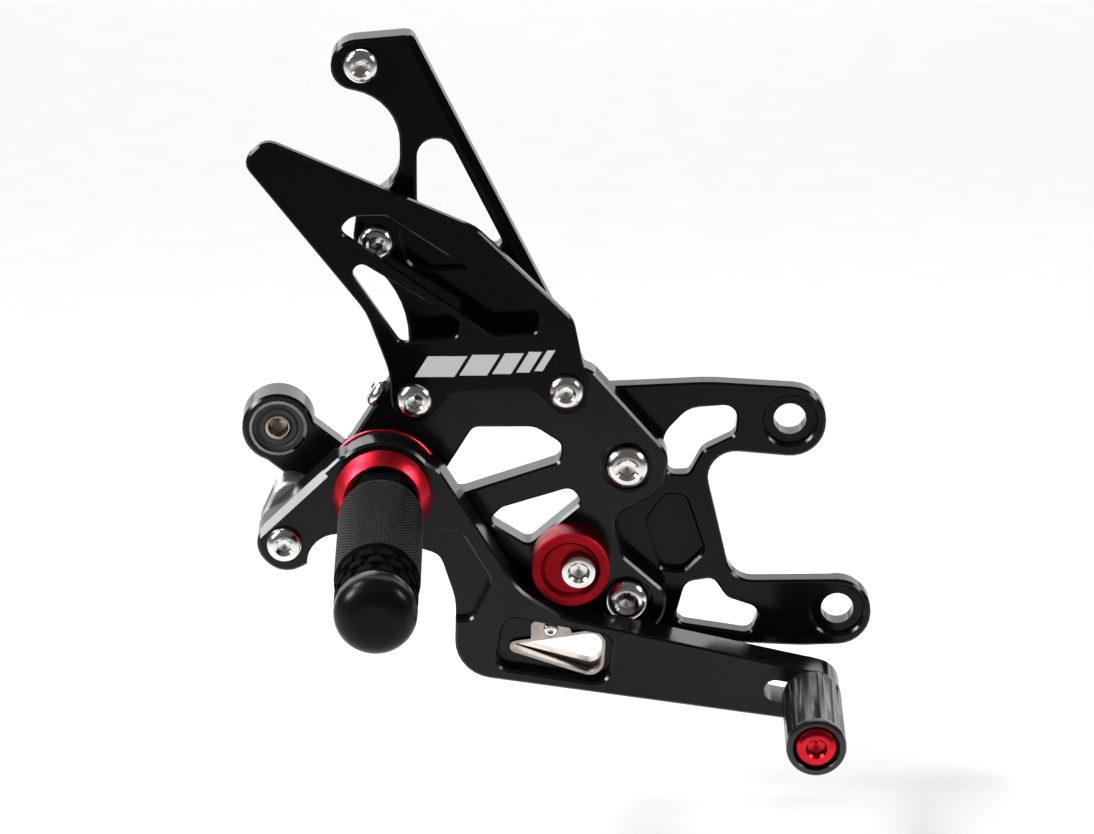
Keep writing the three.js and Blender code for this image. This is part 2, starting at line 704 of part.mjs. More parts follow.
function pegEndCap() {
  const steps = 7;
  const flank = CAP_LENGTH * 0.35;
  const dome = Array.from({ length: steps }, (_, i) => {
    const angle = ((i + 1) / steps) * (Math.PI / 2);
    const y = CAP_START - flank - (CAP_LENGTH - flank) * Math.sin(angle);
    return [CAP_RADIUS * (0.35 + 0.65 * Math.cos(angle)), y];
  });
  const profile = [
    [0, CAP_START],
    [CAP_RADIUS - 0.6, CAP_START],
    [CAP_RADIUS, CAP_START - 0.6],
    [CAP_RADIUS, CAP_START - flank],
    ...dome,
    [0, CAP_START - CAP_LENGTH],
  ];
  const body = turned(profile, PEG_AXIS, 40);
  return cut(body, rod(PEG_AXIS, M6.shank + THREAD_GAP, CAP_START - CAP_STUD.inCap - 0.2, CAP_START + CUT));
}

// The stud that holds the end cap on the barrel.
function pegEndCapStud() {
  return rod(PEG_AXIS, M6.shank, CAP_START - CAP_STUD.inCap, CAP_START + CAP_STUD.inBarrel);
}

// ---------------------------------------------------------------- lever stop

// The eccentric stop turns about its bolt, which sets where the lever rests.
function stopBobbin() {
  const back = HANGER_FRONT - RUNNING_GAP;
  const body = turned(
    [
      [0, back],
      [STOP.radius - 0.5, back],
      [STOP.radius, back - 0.5],
      [STOP.radius, STOP_FRONT + 0.4],
      [STOP.radius - 0.4, STOP_FRONT],
      [STOP.recess, STOP_FRONT],
      [STOP.floor, STOP_FRONT + STOP.sink * 0.5],
      [0, STOP_FRONT + STOP.sink * 0.5],
    ],
    STOP_AXIS,
    40,
  );
  const seat = STOP_FRONT + STOP.sink;
  const headPocket = rod(STOP_BOLT, STOP.head + 0.45, STOP_FRONT - CUT, seat);
  const bore = rod(STOP_BOLT, M6.shank + THREAD_GAP, seat - CUT, HANGER_FRONT + CUT, 32);
  return cut(body, headPocket, bore);
}

// A socket cap screw, with its head down in the stop.
function stopBobbinBolt() {
  const length = HANGER_BACK - (STOP_FRONT + STOP.sink) - 0.5;
  const head = [
    [0, -STOP.headHeight],
    [STOP.head - 0.5, -STOP.headHeight],
    [STOP.head, -STOP.headHeight + 0.5],
    [STOP.head, 0],
  ];
  return screw({ ...M6, socket: 2.9, socketDepth: 3 }, length, head);
}

// ---------------------------------------------------------------- brake lever

function brakeLever() {
  const arm = outline([
    [-66.4, 33.2, 3],
    [-54.8, 25.8, 6],
    [-31.9, -11.7, 24],
    [-18.2, -20.7, 14],
    [62.9, -39.6, 7.9],
    [63.2, -55.2, 7.9],
    [-50.8, -38.3, 12],
    [-50.2, -16, 20],
    [-54.8, -1.6, 5],
    [-70, 3.4, 3],
    [-78, 10, 3],
    [-78, 30, 3],
  ]);
  const rearArm = outline([
    [-75.5, 33, 2],
    [-84.2, 29.7, 4],
    [-111.5, 3.2, 7.9],
    [-101, -7.6, 7.9],
    [-74, 7, 2],
  ]);
  const boss = [
    [0, LEVER_BACK],
    [LEVER_BOSS_RADIUS - BREAK, LEVER_BACK],
    [LEVER_BOSS_RADIUS, LEVER_BACK - BREAK],
    [LEVER_BOSS_RADIUS, LEVER_FRONT + BREAK],
    [LEVER_BOSS_RADIUS - BREAK, LEVER_FRONT],
    [0, LEVER_FRONT],
  ];
  const blank = join(
    prism(arm, LEVER_FRONT, LEVER_BACK, BREAK),
    prism(rearArm, LEVER_FRONT, LEVER_BACK, BREAK),
    turned(boss, PEG_AXIS, 44),
  );
  const through = (at, radius) => rod(at, radius, LEVER_FRONT - CUT, LEVER_BACK + CUT);
  const relief = LEVER_BACK - LEVER_BOSS_RELIEF;
  const { from, to, width } = REAR_ARM_CHAMFER;
  return cut(
    blank,
    through(REAR_ARM_SCALLOP.at, REAR_ARM_SCALLOP.radius),
    rod(PEG_AXIS, SPACER.flange + 4 * RUNNING_GAP, relief, LEVER_BACK + CUT, 44),
    through(PEG_AXIS, BEARING.seat),
    through(CLEVIS_AXIS, M6.shank + THREAD_GAP),
    prism(toeSlot(), LEVER_FRONT - CUT, LEVER_BACK + CUT),
    chamferBar(from, to, LEVER_FRONT, width),
    ...leverPockets(),
    through(POCKET_SCREW, M2_5.shank + THREAD_GAP),
  );
}

function toeSlot() {
  const { radius, length, angle } = TOE_SLOT;
  const start = [TOE_PEG_AXIS[0] - length * Math.cos(angle), TOE_PEG_AXIS[1] - length * Math.sin(angle)];
  return slotOutline(start, radius, length, angle);
}

// Two pockets in the outer face. The second one has a window for the liner.
function leverPockets() {
  const scoop = [
    [-62, 1, 1],
    [-56.5, 6.6, 5],
    [-48.6, 6.4, 4],
    [-40, -8.6, 2.5],
    [-46, -21.6, 3.5],
    [-58, -21, 1],
  ];
  const lowerPocket = [
    [-38.8, -36.6, 4],
    [-35.8, -20.2, 3.5],
    [-4.2, -26.6, 4],
    [-5.2, -42.2, 5],
  ];
  const window = outline(grown(WIDE_TEAR, LINER.wall + LINER.gap));
  return [
    pocket(scoop, LEVER_FRONT, SCOOP_DEPTH),
    pocket(lowerPocket, LEVER_FRONT, POCKET_DEPTH),
    prism(window, LEVER_FRONT - CUT, LEVER_BACK + CUT),
  ];
}

// A steel liner for the tear-shaped window, wider in its outer half, with a tab for its screw.
function leverPocketLiner() {
  const floor = LEVER_FRONT + POCKET_DEPTH - RUNNING_GAP;
  const face = floor - LINER.flange;
  const back = LEVER_BACK - LINER.gap;
  const middle = (face + back) / 2;
  const tab = outline([
    [-28.2, -22.6, 1.5],
    [-16.6, -24.9, 1.5],
    [-15.8, -30, 1],
    [-28.2, -31, 1],
  ]);
  const body = join(prism(outline(grown(WIDE_TEAR, LINER.wall)), face, back), prism(tab, face, floor));
  const seam = outline(grown(WIDE_TEAR, LINER.seamDepth));
  return cut(
    body,
    prism(outline(WIDE_TEAR), face - CUT, middle),
    prism(outline(TEAR), face - CUT, back + CUT),
    prism(seam, middle - LINER.seam / 2, middle + LINER.seam / 2),
    rod(POCKET_SCREW, M2_5.shank + THREAD_GAP, face - CUT, floor + CUT),
  );
}

function leverBearing(back) {
  return ring(PEG_AXIS, BEARING.outer, BEARING.inner, back - BEARING.width, back);
}

// ---------------------------------------------------------------- clevis

// A fork for the push rod, drawn upright round its own bolt axis.
function clevis() {
  const { front, back, halfWidth, top, leg, slotTop } = CLEVIS;
  const edge = outline([
    [-halfWidth, -halfWidth, halfWidth * 0.98],
    [halfWidth, -halfWidth, halfWidth * 0.98],
    [halfWidth, top, 5.5],
    [-halfWidth, top, 5.5],
  ]);
  const gap = new THREE.BoxGeometry(40, back - front - 2 * leg, slotTop + 20);
  gap.translate(0, (front + back) / 2, (slotTop - 20) / 2);
  const rodHole = new THREE.CylinderGeometry(M5.shank + 0.2, M5.shank + 0.2, 20, 20);
  rodHole.rotateX(Math.PI / 2).translate(0, (front + back) / 2, top);
  const bore = rod([0, 0], M6.shank + 0.2, front - CUT, back + CUT, 32);
  return cut(prism(edge, front, back, BREAK), solid(gap), solid(rodHole), bore);
}

function clevisNut() {
  const front = CLEVIS.back + RUNNING_GAP;
  return hexNut(CLEVIS_AXIS, M6_NUT.radius, front, front + M6_NUT.thinHeight);
}

// ---------------------------------------------------------------- toe peg

function toePegSleeve() {
  const body = turned(
    [
      [0, TOE_BACK],
      [TOE_PEG.radius - 0.5, TOE_BACK],
      [TOE_PEG.radius, TOE_BACK - 0.5],
      [TOE_PEG.radius, TOE_FRONT + 0.8],
      [TOE_PEG.radius - 0.8, TOE_FRONT],
      [0, TOE_FRONT],
    ],
    TOE_PEG_AXIS,
    36,
  );
  const { fluteRadius, fluteMargin } = TOE_PEG;
  const reach = TOE_PEG.radius + fluteRadius / 2;
  const flutes = Array.from({ length: TOE_PEG.flutes }, (_, i) => {
    const angle = (i * 2 * Math.PI) / TOE_PEG.flutes;
    const x = TOE_PEG_AXIS[0] + reach * Math.cos(angle);
    const z = TOE_PEG_AXIS[1] + reach * Math.sin(angle);
    return rod([x, z], fluteRadius, TOE_FRONT + fluteMargin, TOE_BACK - fluteMargin, 8);
  });
  const bore = rod(TOE_PEG_AXIS, M6.shank + THREAD_GAP, TOE_FRONT - CUT, TOE_BACK + CUT);
  const sinkBack = TOE_FRONT + TOE_HEAD.depth;
  const sink = rod(TOE_PEG_AXIS, TOE_HEAD.radius + THREAD_GAP, TOE_FRONT - CUT, sinkBack);
  return cut(body, ...flutes, bore, sink);
}

function toePegScrew() {
  const length = LEVER_BACK + 5.5 - (TOE_FRONT + TOE_HEAD.depth);
  const top = -TOE_HEAD.depth - TOE_HEAD.proud;
  const head = [
    [0, top],
    [TOE_HEAD.radius - TOE_HEAD.chamfer, top],
    [TOE_HEAD.radius, top + TOE_HEAD.chamfer],
    [TOE_HEAD.radius, 0],
  ];
  return screw({ ...M6, socketDepth: 2.6 }, length, head);
}

function toePegNut() {
  const front = LEVER_BACK + RUNNING_GAP;
  return hexNut(TOE_PEG_AXIS, TOE_NUT_RADIUS, front, front + M6_NUT.tallHeight);
}

// ---------------------------------------------------------------- assembly

place("frame_bracket", frameBracket(), BLACK);
place("hanger_plate", hangerPlate(), BLACK);
place("heel_guard", heelGuard(), BLACK);
place("master_cylinder_stay", masterCylinderStay(), BLACK);
place("exhaust_hanger_arm", exhaustHangerArm(), BLACK);

place("exhaust_bush", exhaustBush(), RUBBER);
place("exhaust_bush_insert", exhaustBushInsert(), STEEL);
place("exhaust_bush_circlip", exhaustBushCirclip(), STEEL);

const at = ([x, z], y) => [x, y, z];
const hangerSeat = HANGER_FRONT + M8_COUNTERBORE.depth;
for (const [end, axis] of Object.entries(HANGER_BOLTS)) {
  const length = BRACKET_BACK - hangerSeat - 0.5;
  place("hanger_bolt_" + end, buttonScrew(M8, length), STEEL, at(axis, hangerSeat));
}
for (const [end, axis] of Object.entries(GUARD_BOLTS)) {
  const length = HANGER_BACK + PLATE - GUARD_FRONT - 1;
  place("guard_bolt_" + end, buttonScrew(M6, length), STEEL, at(axis, GUARD_FRONT));
}
for (const [end, axis] of Object.entries(STAY_BOLTS)) {
  place("stay_bolt_" + end, buttonScrew(M6, PLATE + STAY_BOLT_REACH), STEEL, at(axis, HANGER_BACK));
}
place("spring_anchor_screw", toRearEdge(buttonScrew(M5, EDGE_SCREW.depth - 0.5)), STEEL);
const armBoltLength = EXHAUST_ARM_THICKNESS + ARM_BOLT_DEPTH - 1;
const armBolt = place("arm_bolt", buttonScrew(M6, armBoltLength), STEEL, at(ARM_BOLT, EXHAUST_ARM_BACK));
armBolt.rotation.x = Math.PI;

place("peg_shaft", pegShaft(), STEEL);
place("peg_shaft_washer", pegShaftWasher(), STEEL);
place("lever_spacer_ring", leverSpacerRing(), RED);
place("peg_collar", pegCollar(), RED);
place("peg_barrel", pegBarrel(), BLACK);
place("peg_end_cap", pegEndCap(), DELRIN);
place("peg_end_cap_stud", pegEndCapStud(), STEEL);

place("stop_bobbin", stopBobbin(), RED);
place("stop_bobbin_bolt", stopBobbinBolt(), STEEL, at(STOP_BOLT, STOP_FRONT + STOP.sink - RUNNING_GAP));

const lever = new THREE.Group();
assembly.add(lever);
place("brake_lever", brakeLever(), BLACK, [0, 0, 0], lever);
place("lever_bearing_rear", leverBearing(BEARING_BACK), STEEL, [0, 0, 0], lever);
const shimFront = BEARING_BACK - BEARING.width - BEARING_SHIM.width;
place("lever_bearing_front", leverBearing(shimFront), STEEL, [0, 0, 0], lever);
const shimBack = shimFront + BEARING_SHIM.width;
const shim = ring(PEG_AXIS, BEARING_SHIM.outer, BEARING_SHIM.inner, shimFront, shimBack);
place("lever_bearing_shim", shim, STEEL, [0, 0, 0], lever);
place("lever_pocket_liner", leverPocketLiner(), STEEL, [0, 0, 0], lever);
const linerFace = LEVER_FRONT + POCKET_DEPTH - RUNNING_GAP - LINER.flange;
const pocketScrew = buttonScrew(M2_5, POCKET_SCREW_LENGTH);
place("lever_pocket_screw", pocketScrew, STEEL, at(POCKET_SCREW, linerFace), lever);
const clevisBoltLength = CLEVIS.back + M6_NUT.thinHeight + 0.6 - LEVER_FRONT;
place("clevis_bolt", buttonScrew(M6, clevisBoltLength), STEEL, at(CLEVIS_AXIS, LEVER_FRONT), lever);
place("clevis_nut", clevisNut(), ZINC, [0, 0, 0], lever);

const fork = place("clevis", clevis(), ZINC, at(CLEVIS_AXIS, 0), lever);
fork.rotation.y = CLEVIS.lean;

const toePeg = new THREE.Group();
lever.add(toePeg);
place("toe_peg_sleeve", toePegSleeve(), DELRIN, [0, 0, 0], toePeg);
place("toe_peg_screw", toePegScrew(), RED, at(TOE_PEG_AXIS, TOE_FRONT + TOE_HEAD.depth), toePeg);
place("toe_peg_nut", toePegNut(), ZINC, [0, 0, 0], toePeg);

export default assembly;
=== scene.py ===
"""Looks for a right-hand rear-set foot peg unit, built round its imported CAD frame.

The frame's axes: +X to the front of the motorcycle, +Z up, and -Y out to the rider and the camera.
Profiles are in millimetres and become metres when their mesh is made. Places come from the CAD nodes.
"""

from math import asin, cos, pi, radians, sin, sqrt, tau

import bmesh
import bpy
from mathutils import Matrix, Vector


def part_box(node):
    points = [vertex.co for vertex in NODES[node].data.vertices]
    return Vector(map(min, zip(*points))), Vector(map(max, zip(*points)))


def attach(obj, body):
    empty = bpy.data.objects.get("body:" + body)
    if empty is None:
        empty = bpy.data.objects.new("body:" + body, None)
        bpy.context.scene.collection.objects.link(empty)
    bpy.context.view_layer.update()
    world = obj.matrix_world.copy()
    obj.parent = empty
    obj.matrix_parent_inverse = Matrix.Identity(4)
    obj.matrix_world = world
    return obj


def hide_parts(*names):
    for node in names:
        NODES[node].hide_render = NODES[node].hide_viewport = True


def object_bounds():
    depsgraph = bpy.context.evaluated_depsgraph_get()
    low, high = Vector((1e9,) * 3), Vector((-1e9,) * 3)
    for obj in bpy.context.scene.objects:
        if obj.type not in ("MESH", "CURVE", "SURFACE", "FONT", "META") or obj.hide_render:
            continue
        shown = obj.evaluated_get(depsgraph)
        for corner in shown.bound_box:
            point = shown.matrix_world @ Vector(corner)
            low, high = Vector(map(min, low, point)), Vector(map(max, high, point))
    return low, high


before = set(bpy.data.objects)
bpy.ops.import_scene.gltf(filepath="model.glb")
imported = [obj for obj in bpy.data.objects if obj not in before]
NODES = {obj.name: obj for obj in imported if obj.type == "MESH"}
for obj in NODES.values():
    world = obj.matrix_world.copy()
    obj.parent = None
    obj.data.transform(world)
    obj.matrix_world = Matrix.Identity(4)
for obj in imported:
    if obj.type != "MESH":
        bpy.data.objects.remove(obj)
CAD_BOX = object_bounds()

# ---------------------------------------------------------------- sizes, in millimetres

MM = 0.001
OUT = Vector((0, -1, 0))  # from the frame out to the rider
IN = Vector((0, 1, 0))

# Screws: shank radius, head radius, head height, half the socket's width across flats, socket depth, pitch.
M2_5 = dict(shank=1.25, head=2.2, rise=1.3, socket=0.75, depth=0.8, pitch=0.45)
M5 = dict(shank=2.5, head=4.75, rise=2.6, socket=1.5, depth=1.5, pitch=0.8)
M6 = dict(shank=3.0, head=5.3, rise=3.2, socket=2.0, depth=2.0, pitch=1.0)
M8 = dict(shank=4.0, head=6.6, rise=3.6, socket=2.5, depth=2.4, pitch=1.25)
CAP_M6 = dict(shank=3.0, head=5.0, rise=5.0, socket=2.5, depth=3.0, pitch=1.0)
THREAD_DEPTH = 0.35  # of a pitch
SCREW_BORE = 3.1  # through the nuts and the toe peg
ANCHOR_SEAT = Vector((-72.6, -12.0, 43.25))  # the spring anchor screw's head, on the hanger plate's rear edge
ANCHOR_OUT = Vector((-39.5, 0, 24.8))
ANCHOR_LENGTH = 6.0

# The foot peg, along its axis from the bottom of the collar.
NECK_FLAT = 9.15
NECK_LENGTH = 16.4
GRIP_RADIUS = 12.5
GRIP_LENGTH = 51.0
KNURL_TEETH = 66
KNURL_PITCH = 2.1
KNURL_DEPTH = 0.55
KNURL_MARGIN = 1.4
GROOVE_COUNT = 3
GROOVE_PITCH = 6.0
GROOVE_WIDTH = 1.8
GROOVE_RADIUS = 10.6
LAND_RADIUS = 11.9
GRIP_CHAMFER = 1.4
NOTCH_COUNT = 12
NOTCH_WIDTH = 2.0
SHAFT_BORE = 6.2  # of the collar and the ring
COLLAR_FOOT = 14.5
COLLAR_RIM = 10.9
COLLAR_HEIGHT = 5.4
COLLAR_FLOOR = 1.5
RING_RADIUS = 13.0
RING_FLANGE_RADIUS = 17.0
RING_FLANGE = 1.2
SHAFT_RADIUS = 6.0
SHAFT_HEAD_FLAT = 8.6
SHAFT_HEAD_HEIGHT = 6.5

# The toe peg.
SLEEVE_RADIUS = 8.8
FLUTE_COUNT = 12
FLUTE_WIDTH = 2.6
FLUTE_DEPTH = 0.6
FLUTE_MARGIN = 3.0
TOE_HEAD_RADIUS = 6.6
TOE_HEAD_HEIGHT = 3.8
TOE_SINK_RADIUS = 6.75
TOE_SINK_DEPTH = 3.4
TOE_THREAD_LENGTH = 14.0
TOE_SOCKET = dict(socket=2.5, depth=3.2)

# The exhaust hanger's bush.
BUSH_RADIUS = 8.45
BUSH_BORE = 4.0
INSERT_RADIUS = 3.9
INSERT_SOCKET = dict(socket=2.5, depth=4.0)

# The engraved mark on the guard: slanted bars that get narrower to the front.
MARK_START = (-62.0, 50.6)
MARK_WIDTHS = (11.5, 8.0, 5.5, 3.8, 2.4)
MARK_GAP = 1.5
MARK_HEIGHT = 6.4
MARK_LEAN = 3.8
MARK_RISE = 0.45
ENGRAVING_HEIGHT = 0.04

# ---------------------------------------------------------------- materials


class Graph:
    """A material whose nodes are added one by one. An input is a value, or an output socket to link to it."""

    def __init__(self, name):
        self.material = bpy.data.materials.new(name)
        self.material.use_nodes = True
        self.tree = self.material.node_tree
        self.shader = self.tree.nodes["Principled BSDF"]
        self.place = self.node("ShaderNodeTexCoord", "Object")

    def fill(self, node, inputs):
        for key, value in inputs.items():
            if isinstance(value, bpy.types.NodeSocket):
                self.tree.links.new(value, node.inputs[key])
            else:
                node.inputs[key].default_value = value

    def node(self, kind, output=0, inputs=None, **settings):
        node = self.tree.nodes.new(kind)
        for key, value in settings.items():
            setattr(node, key, value)
        self.fill(node, inputs or {})
        return node.outputs[output]

    def noise(self, scale, detail=2.0, place=None):
        inputs = {"Vector": place or self.place, "Scale": scale, "Detail": detail}
        return self.node("ShaderNodeTexNoise", "Fac", inputs)

    def ramp(self, value, low, high, first, last):
        inputs = {"Value": value, "From Min": low, "From Max": high, "To Min": first, "To Max": last}
        return self.node("ShaderNodeMapRange", 0, inputs)

    def math(self, operation, a, b=0.0):
        return self.node("ShaderNodeMath", 0, {0: a, 1: b}, operation=operation)

    def mix(self, share, a, b):
        node = self.tree.nodes.new("ShaderNodeMix")
        node.data_type = "RGBA"
        self.fill(node, {0: share, 6: a, 7: b})
        return node.outputs[2]

    def bump(self, height, strength, distance_mm, normal=None):
        inputs = {"Height": height, "Strength": strength, "Distance": distance_mm * MM}
        if normal:
            inputs["Normal"] = normal
        return self.node("ShaderNodeBump", 0, inputs)

    def from_axis(self, centre):
        """The distance from an axis along Y through the centre, and the place along it."""
        offset = self.node("ShaderNodeVectorMath", 0, {0: self.place, 1: centre}, operation="SUBTRACT")
        parts = self.tree.nodes.new("ShaderNodeSeparateXYZ")
        self.fill(parts, {0: offset})
        squares = [self.math("POWER", parts.outputs[axis], 2.0) for axis in (0, 2)]
        return self.math("SQRT", self.math("ADD", *squares)), parts.outputs[1]

    def edges(self, radius_mm):
        """0 on flat stretches and up to 1 on edges that bend within the radius."""
        rounded = self.node("ShaderNodeBevel", 0, {"Radius": radius_mm * MM}, samples=4)
        straight = self.node("ShaderNodeNewGeometry", "Normal")
        both = self.node("ShaderNodeVectorMath", "Value", {0: rounded, 1: straight}, operation="DOT_PRODUCT")
        return self.ramp(both, 0.995, 0.85, 0.0, 1.0)

    def finish(self, **inputs):
        self.fill(self.shader, {key.replace("_", " "): value for key, value in inputs.items()})
        return self.material


def rgb(red, green, blue):
    return (red, green, blue, 1.0)


def black_anodised(name, tone, roughness, ior=1.29):
    """Gloss black anodising on machined plate: a fine grain, faint handling haze, and paler edges, partly
    edge wear and partly a painted edge highlight.
    """
    g = Graph(name)
    haze = g.noise(24.0, 5.0)
    grain = g.noise(1900.0, 2.0)
    smears = g.noise(160.0, 3.0)
    edge_wear_and_highlight = g.edges(0.25)
    black = g.mix(haze, rgb(tone * 0.8, tone * 0.8, tone * 0.82), rgb(tone * 1.3, tone * 1.27, tone * 1.3))
    # the edges are painted paler: partly edge wear, partly a painted highlight along every edge
    colour = g.mix(g.math("MULTIPLY", edge_wear_and_highlight, 0.35), black, rgb(0.09, 0.09, 0.09))
    rough = g.ramp(haze, 0.3, 0.7, roughness * 0.8, roughness * 1.3)
    rough = g.math("ADD", rough, g.ramp(smears, 0.55, 0.8, 0.0, 0.08))
    bump = g.bump(grain, 0.12, 0.012, g.bump(haze, 0.05, 0.2))
    return g.finish(Base_Color=colour, Roughness=rough, Normal=bump, IOR=ior)


def knurled_black(name, centre):
    """Black anodising on the peg, rougher in the valleys of the knurl, with painted shade in the valleys and
    a painted highlight on its points.
    """
    g = Graph(name)
    haze = g.noise(90.0, 4.0)
    valley, point = (GRIP_RADIUS - share * KNURL_DEPTH for share in (0.72, 0.32))
    height = g.ramp(g.from_axis(centre)[0], valley * MM, point * MM, 0.0, 1.0)
    black = g.mix(haze, rgb(0.002, 0.002, 0.0022), rgb(0.0035, 0.0033, 0.0035))
    # painted shade and highlight: the colour is darker in the knurl's valleys and paler on its points
    colour = g.mix(height, black, rgb(0.014, 0.0137, 0.014))
    rough = g.math("ADD", g.ramp(height, 0.0, 1.0, 0.75, 0.26), g.ramp(haze, 0.3, 0.7, 0.0, 0.1))
    # painted shade: almost no specular reflection in the valleys, more on the points
    shine = g.ramp(height, 0.0, 1.0, 0.02, 0.42)
    bump = g.bump(g.noise(3200.0), 0.15, 0.02)
    return g.finish(Base_Color=colour, Roughness=rough, Normal=bump, Specular_IOR_Level=shine)


def turned_metal(name, centre, colour, deep, roughness=(0.16, 0.26), rings_mm=0.35, anisotropic=0.55):
    """Metal turned on a lathe: fine rings round an axis along Y through the centre."""
    g = Graph(name)
    travel = g.math("ADD", *g.from_axis(centre))
    rings = g.math("SINE", g.math("MULTIPLY", travel, tau / (rings_mm * MM)))
    haze = g.noise(120.0, 4.0)
    shade = g.mix(haze, colour, deep)
    rough = g.ramp(haze, 0.3, 0.7, *roughness)
    bump = g.bump(rings, 0.06, 0.01, g.bump(g.noise(2600.0), 0.05, 0.01))
    tangent = g.node("ShaderNodeTangent", 0, direction_type="RADIAL", axis="Y")
    return g.finish(
        Base_Color=shade, Metallic=1.0, Roughness=rough, Normal=bump, Anisotropic=anisotropic, Tangent=tangent
    )


def bright_steel(name, colour, deep, roughness, grain_mm=0.3):
    """Polished or plated steel with fine scratches and a slightly uneven sheen."""
    g = Graph(name)
    haze = g.noise(260.0, 4.0)
    stretch = g.node("ShaderNodeMapping", 0, {"Vector": g.place, "Scale": (1.0, 6.0, 1.0)})
    scratches = g.noise(1000.0 / grain_mm, 3.0, stretch)
    shade = g.mix(haze, colour, deep)
    rough = g.math("ADD", g.ramp(haze, 0.3, 0.7, *roughness), g.ramp(scratches, 0.6, 0.8, 0.0, 0.08))
    bump = g.bump(scratches, 0.06, 0.006)
    return g.finish(Base_Color=shade, Metallic=1.0, Roughness=rough, Normal=bump)


def moulded_black(name, tone, roughness, grain_mm=0.25, bump_strength=0.12, specular=0.5):
    """Moulded plastic or rubber with a fine spark-eroded grain."""
    g = Graph(name)
    haze = g.noise(60.0, 4.0)
    grain = g.noise(1000.0 / grain_mm, 2.0)
    shade = g.mix(haze, rgb(tone, tone, tone * 1.05), rgb(tone * 1.7, tone * 1.68, tone * 1.75))
    rough = g.ramp(haze, 0.3, 0.7, roughness * 0.88, roughness * 1.12)
    bump = g.bump(grain, bump_strength, 0.02)
    return g.finish(Base_Color=shade, Roughness=rough, Normal=bump, Specular_IOR_Level=specular)


def etched(name):
    """Bare aluminium where the anodising is engraved away."""
    g = Graph(name)
    grain = g.noise(2400.0, 3.0)
    shade = g.mix(grain, rgb(0.55, 0.55, 0.55), rgb(0.7, 0.7, 0.7))
    rough = g.ramp(grain, 0.3, 0.7, 0.35, 0.5)
    return g.finish(Base_Color=shade, Metallic=0.0, Roughness=rough, Normal=g.bump(grain, 0.2, 0.02))


# ---------------------------------------------------------------- meshes


def mesh_object(name, points, faces, material, crease=35):
    """A new object from points in metres, shaded smooth except across creases."""
    mesh = bpy.data.meshes.new(name)
    mesh.from_pydata(points, [], faces)
    body = bmesh.new()
    body.from_mesh(mesh)
    bmesh.ops.recalc_face_normals(body, faces=body.faces)
    body.to_mesh(mesh)
    body.free()
    mesh.shade_smooth()
    mesh.set_sharp_from_angle(angle=radians(crease))
    mesh.materials.append(material)
    piece = bpy.data.objects.new(name, mesh)
    bpy.context.scene.collection.objects.link(piece)
    return piece


def even_angles(sides):
    return [i * tau / sides for i in range(sides)]


def turned(name, rows, origin, direction, material, angles=96, closed=False, crease=35):
    """A body of rings along a direction. A row is (radius, along). A radius may be a function of the angle.

    An open body has its first and last rings closed by a face each. A closed one joins them to each other.
    """
    angles = even_angles(angles) if isinstance(angles, int) else angles
    axis = Vector(direction).normalized()
    side = axis.cross(Vector((0, 1, 0) if abs(axis.y) < 0.9 else (1, 0, 0))).normalized()
    across = axis.cross(side)
    points = []
    for radius, along in rows:
        for angle in angles:
            reach = radius(angle) if callable(radius) else radius
            spoke = side * cos(angle) + across * sin(angle)
            points.append(Vector(origin) + MM * (axis * along + reach * spoke))
    count = len(angles)
    faces = []
    for row in range(len(rows) if closed else len(rows) - 1):
        start = row * count
        after = (row + 1) % len(rows) * count
        for i in range(count):
            j = (i + 1) % count
            faces.append((start + i, start + j, after + j, after + i))
    if not closed:
        faces.append(tuple(range(count)))
        faces.append(tuple(range(len(points) - count, len(points))))
    return mesh_object(name, points, faces, material, crease)


def hexagon(flat):
    """The radius of a hexagon, from half its width across flats."""
    return lambda angle: flat / cos(angle % (pi / 3) - pi / 6)


def rounded_hexagon(flat, corner):
    return lambda angle: min(flat / cos(angle % (pi / 3) - pi / 6), corner)


def rolled(radius, turn):
    """The same outline, turned about its axis."""
    return lambda angle: radius(angle + turn)


def thread_rows(radius, pitch, start, end):
    """Rows of a screw thread from start to end along the axis."""
    steps = 5
    depth = pitch * THREAD_DEPTH

    def ridge(along):
        def at(angle):
            phase = (along / pitch - angle / tau) % 1.0
            return radius - depth * abs(2 * phase - 1)

        return at

    count = int((end - start) / pitch * steps)
    places = [start + (end - start) * i / count for i in range(count + 1)]
    return [(ridge(along), along) for along in places]


def dome_rows(size):
    """A button head from its seat at 0 up to the rim of its socket."""
    head, rise = size["head"], size["rise"]
    rim = size["socket"] * 1.42
    rows = [(head - 0.15, 0), (head, 0.15), (head, 0.35)]
    steps = 9
    for i in range(1, steps + 1):
        turn = i / steps * pi / 2
        rows.append((rim + (head - rim) * cos(turn), 0.35 + (rise - 0.35) * sin(turn)))
    return rows


def socket_rows(size, top):
    """A hexagon socket down from the top, with a conical lead-in and a drilled floor."""
    flat = size["socket"]
    floor = top - size["depth"]
    return [
        (hexagon(flat), top - flat * 0.28),
        (hexagon(flat), floor),
        (flat * 0.9, floor),
        (0.02, floor - flat * 0.4),
    ]


def screw_place(node, rise, direction):
    """The seat of a screw's head and the length of its shank, for a screw that points along Y."""
    low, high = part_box(node)
    centre = (low + high) / 2
    if direction is OUT:
        centre.y = low.y + rise * MM
        return centre, (high.y - centre.y) / MM
    centre.y = high.y - rise * MM
    return centre, (centre.y - low.y) / MM


def button_screw(node, size, material, body, direction=OUT, seat=None, length=None, slot="stainless"):
    if seat is None:
        seat, length = screw_place(node, size["rise"], direction)
    shank = size["shank"]
    rows = [(shank * 0.7, -length), (shank * 0.9, -length + 0.5)]
    rows += thread_rows(shank, size["pitch"], -length + 0.5, -0.6)
    rows += [(shank * 0.92, -0.5), (shank * 0.92, 0)]
    rows += dome_rows(size)
    rows += socket_rows(size, size["rise"])
    piece = turned("screw_" + node, rows, seat, direction, material, 48)
    return stand_in(piece, body, slot, node)


def stand_in(piece, body, slot, *nodes):
    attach(piece, body)
    if nodes:
        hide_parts(*nodes)
    return piece


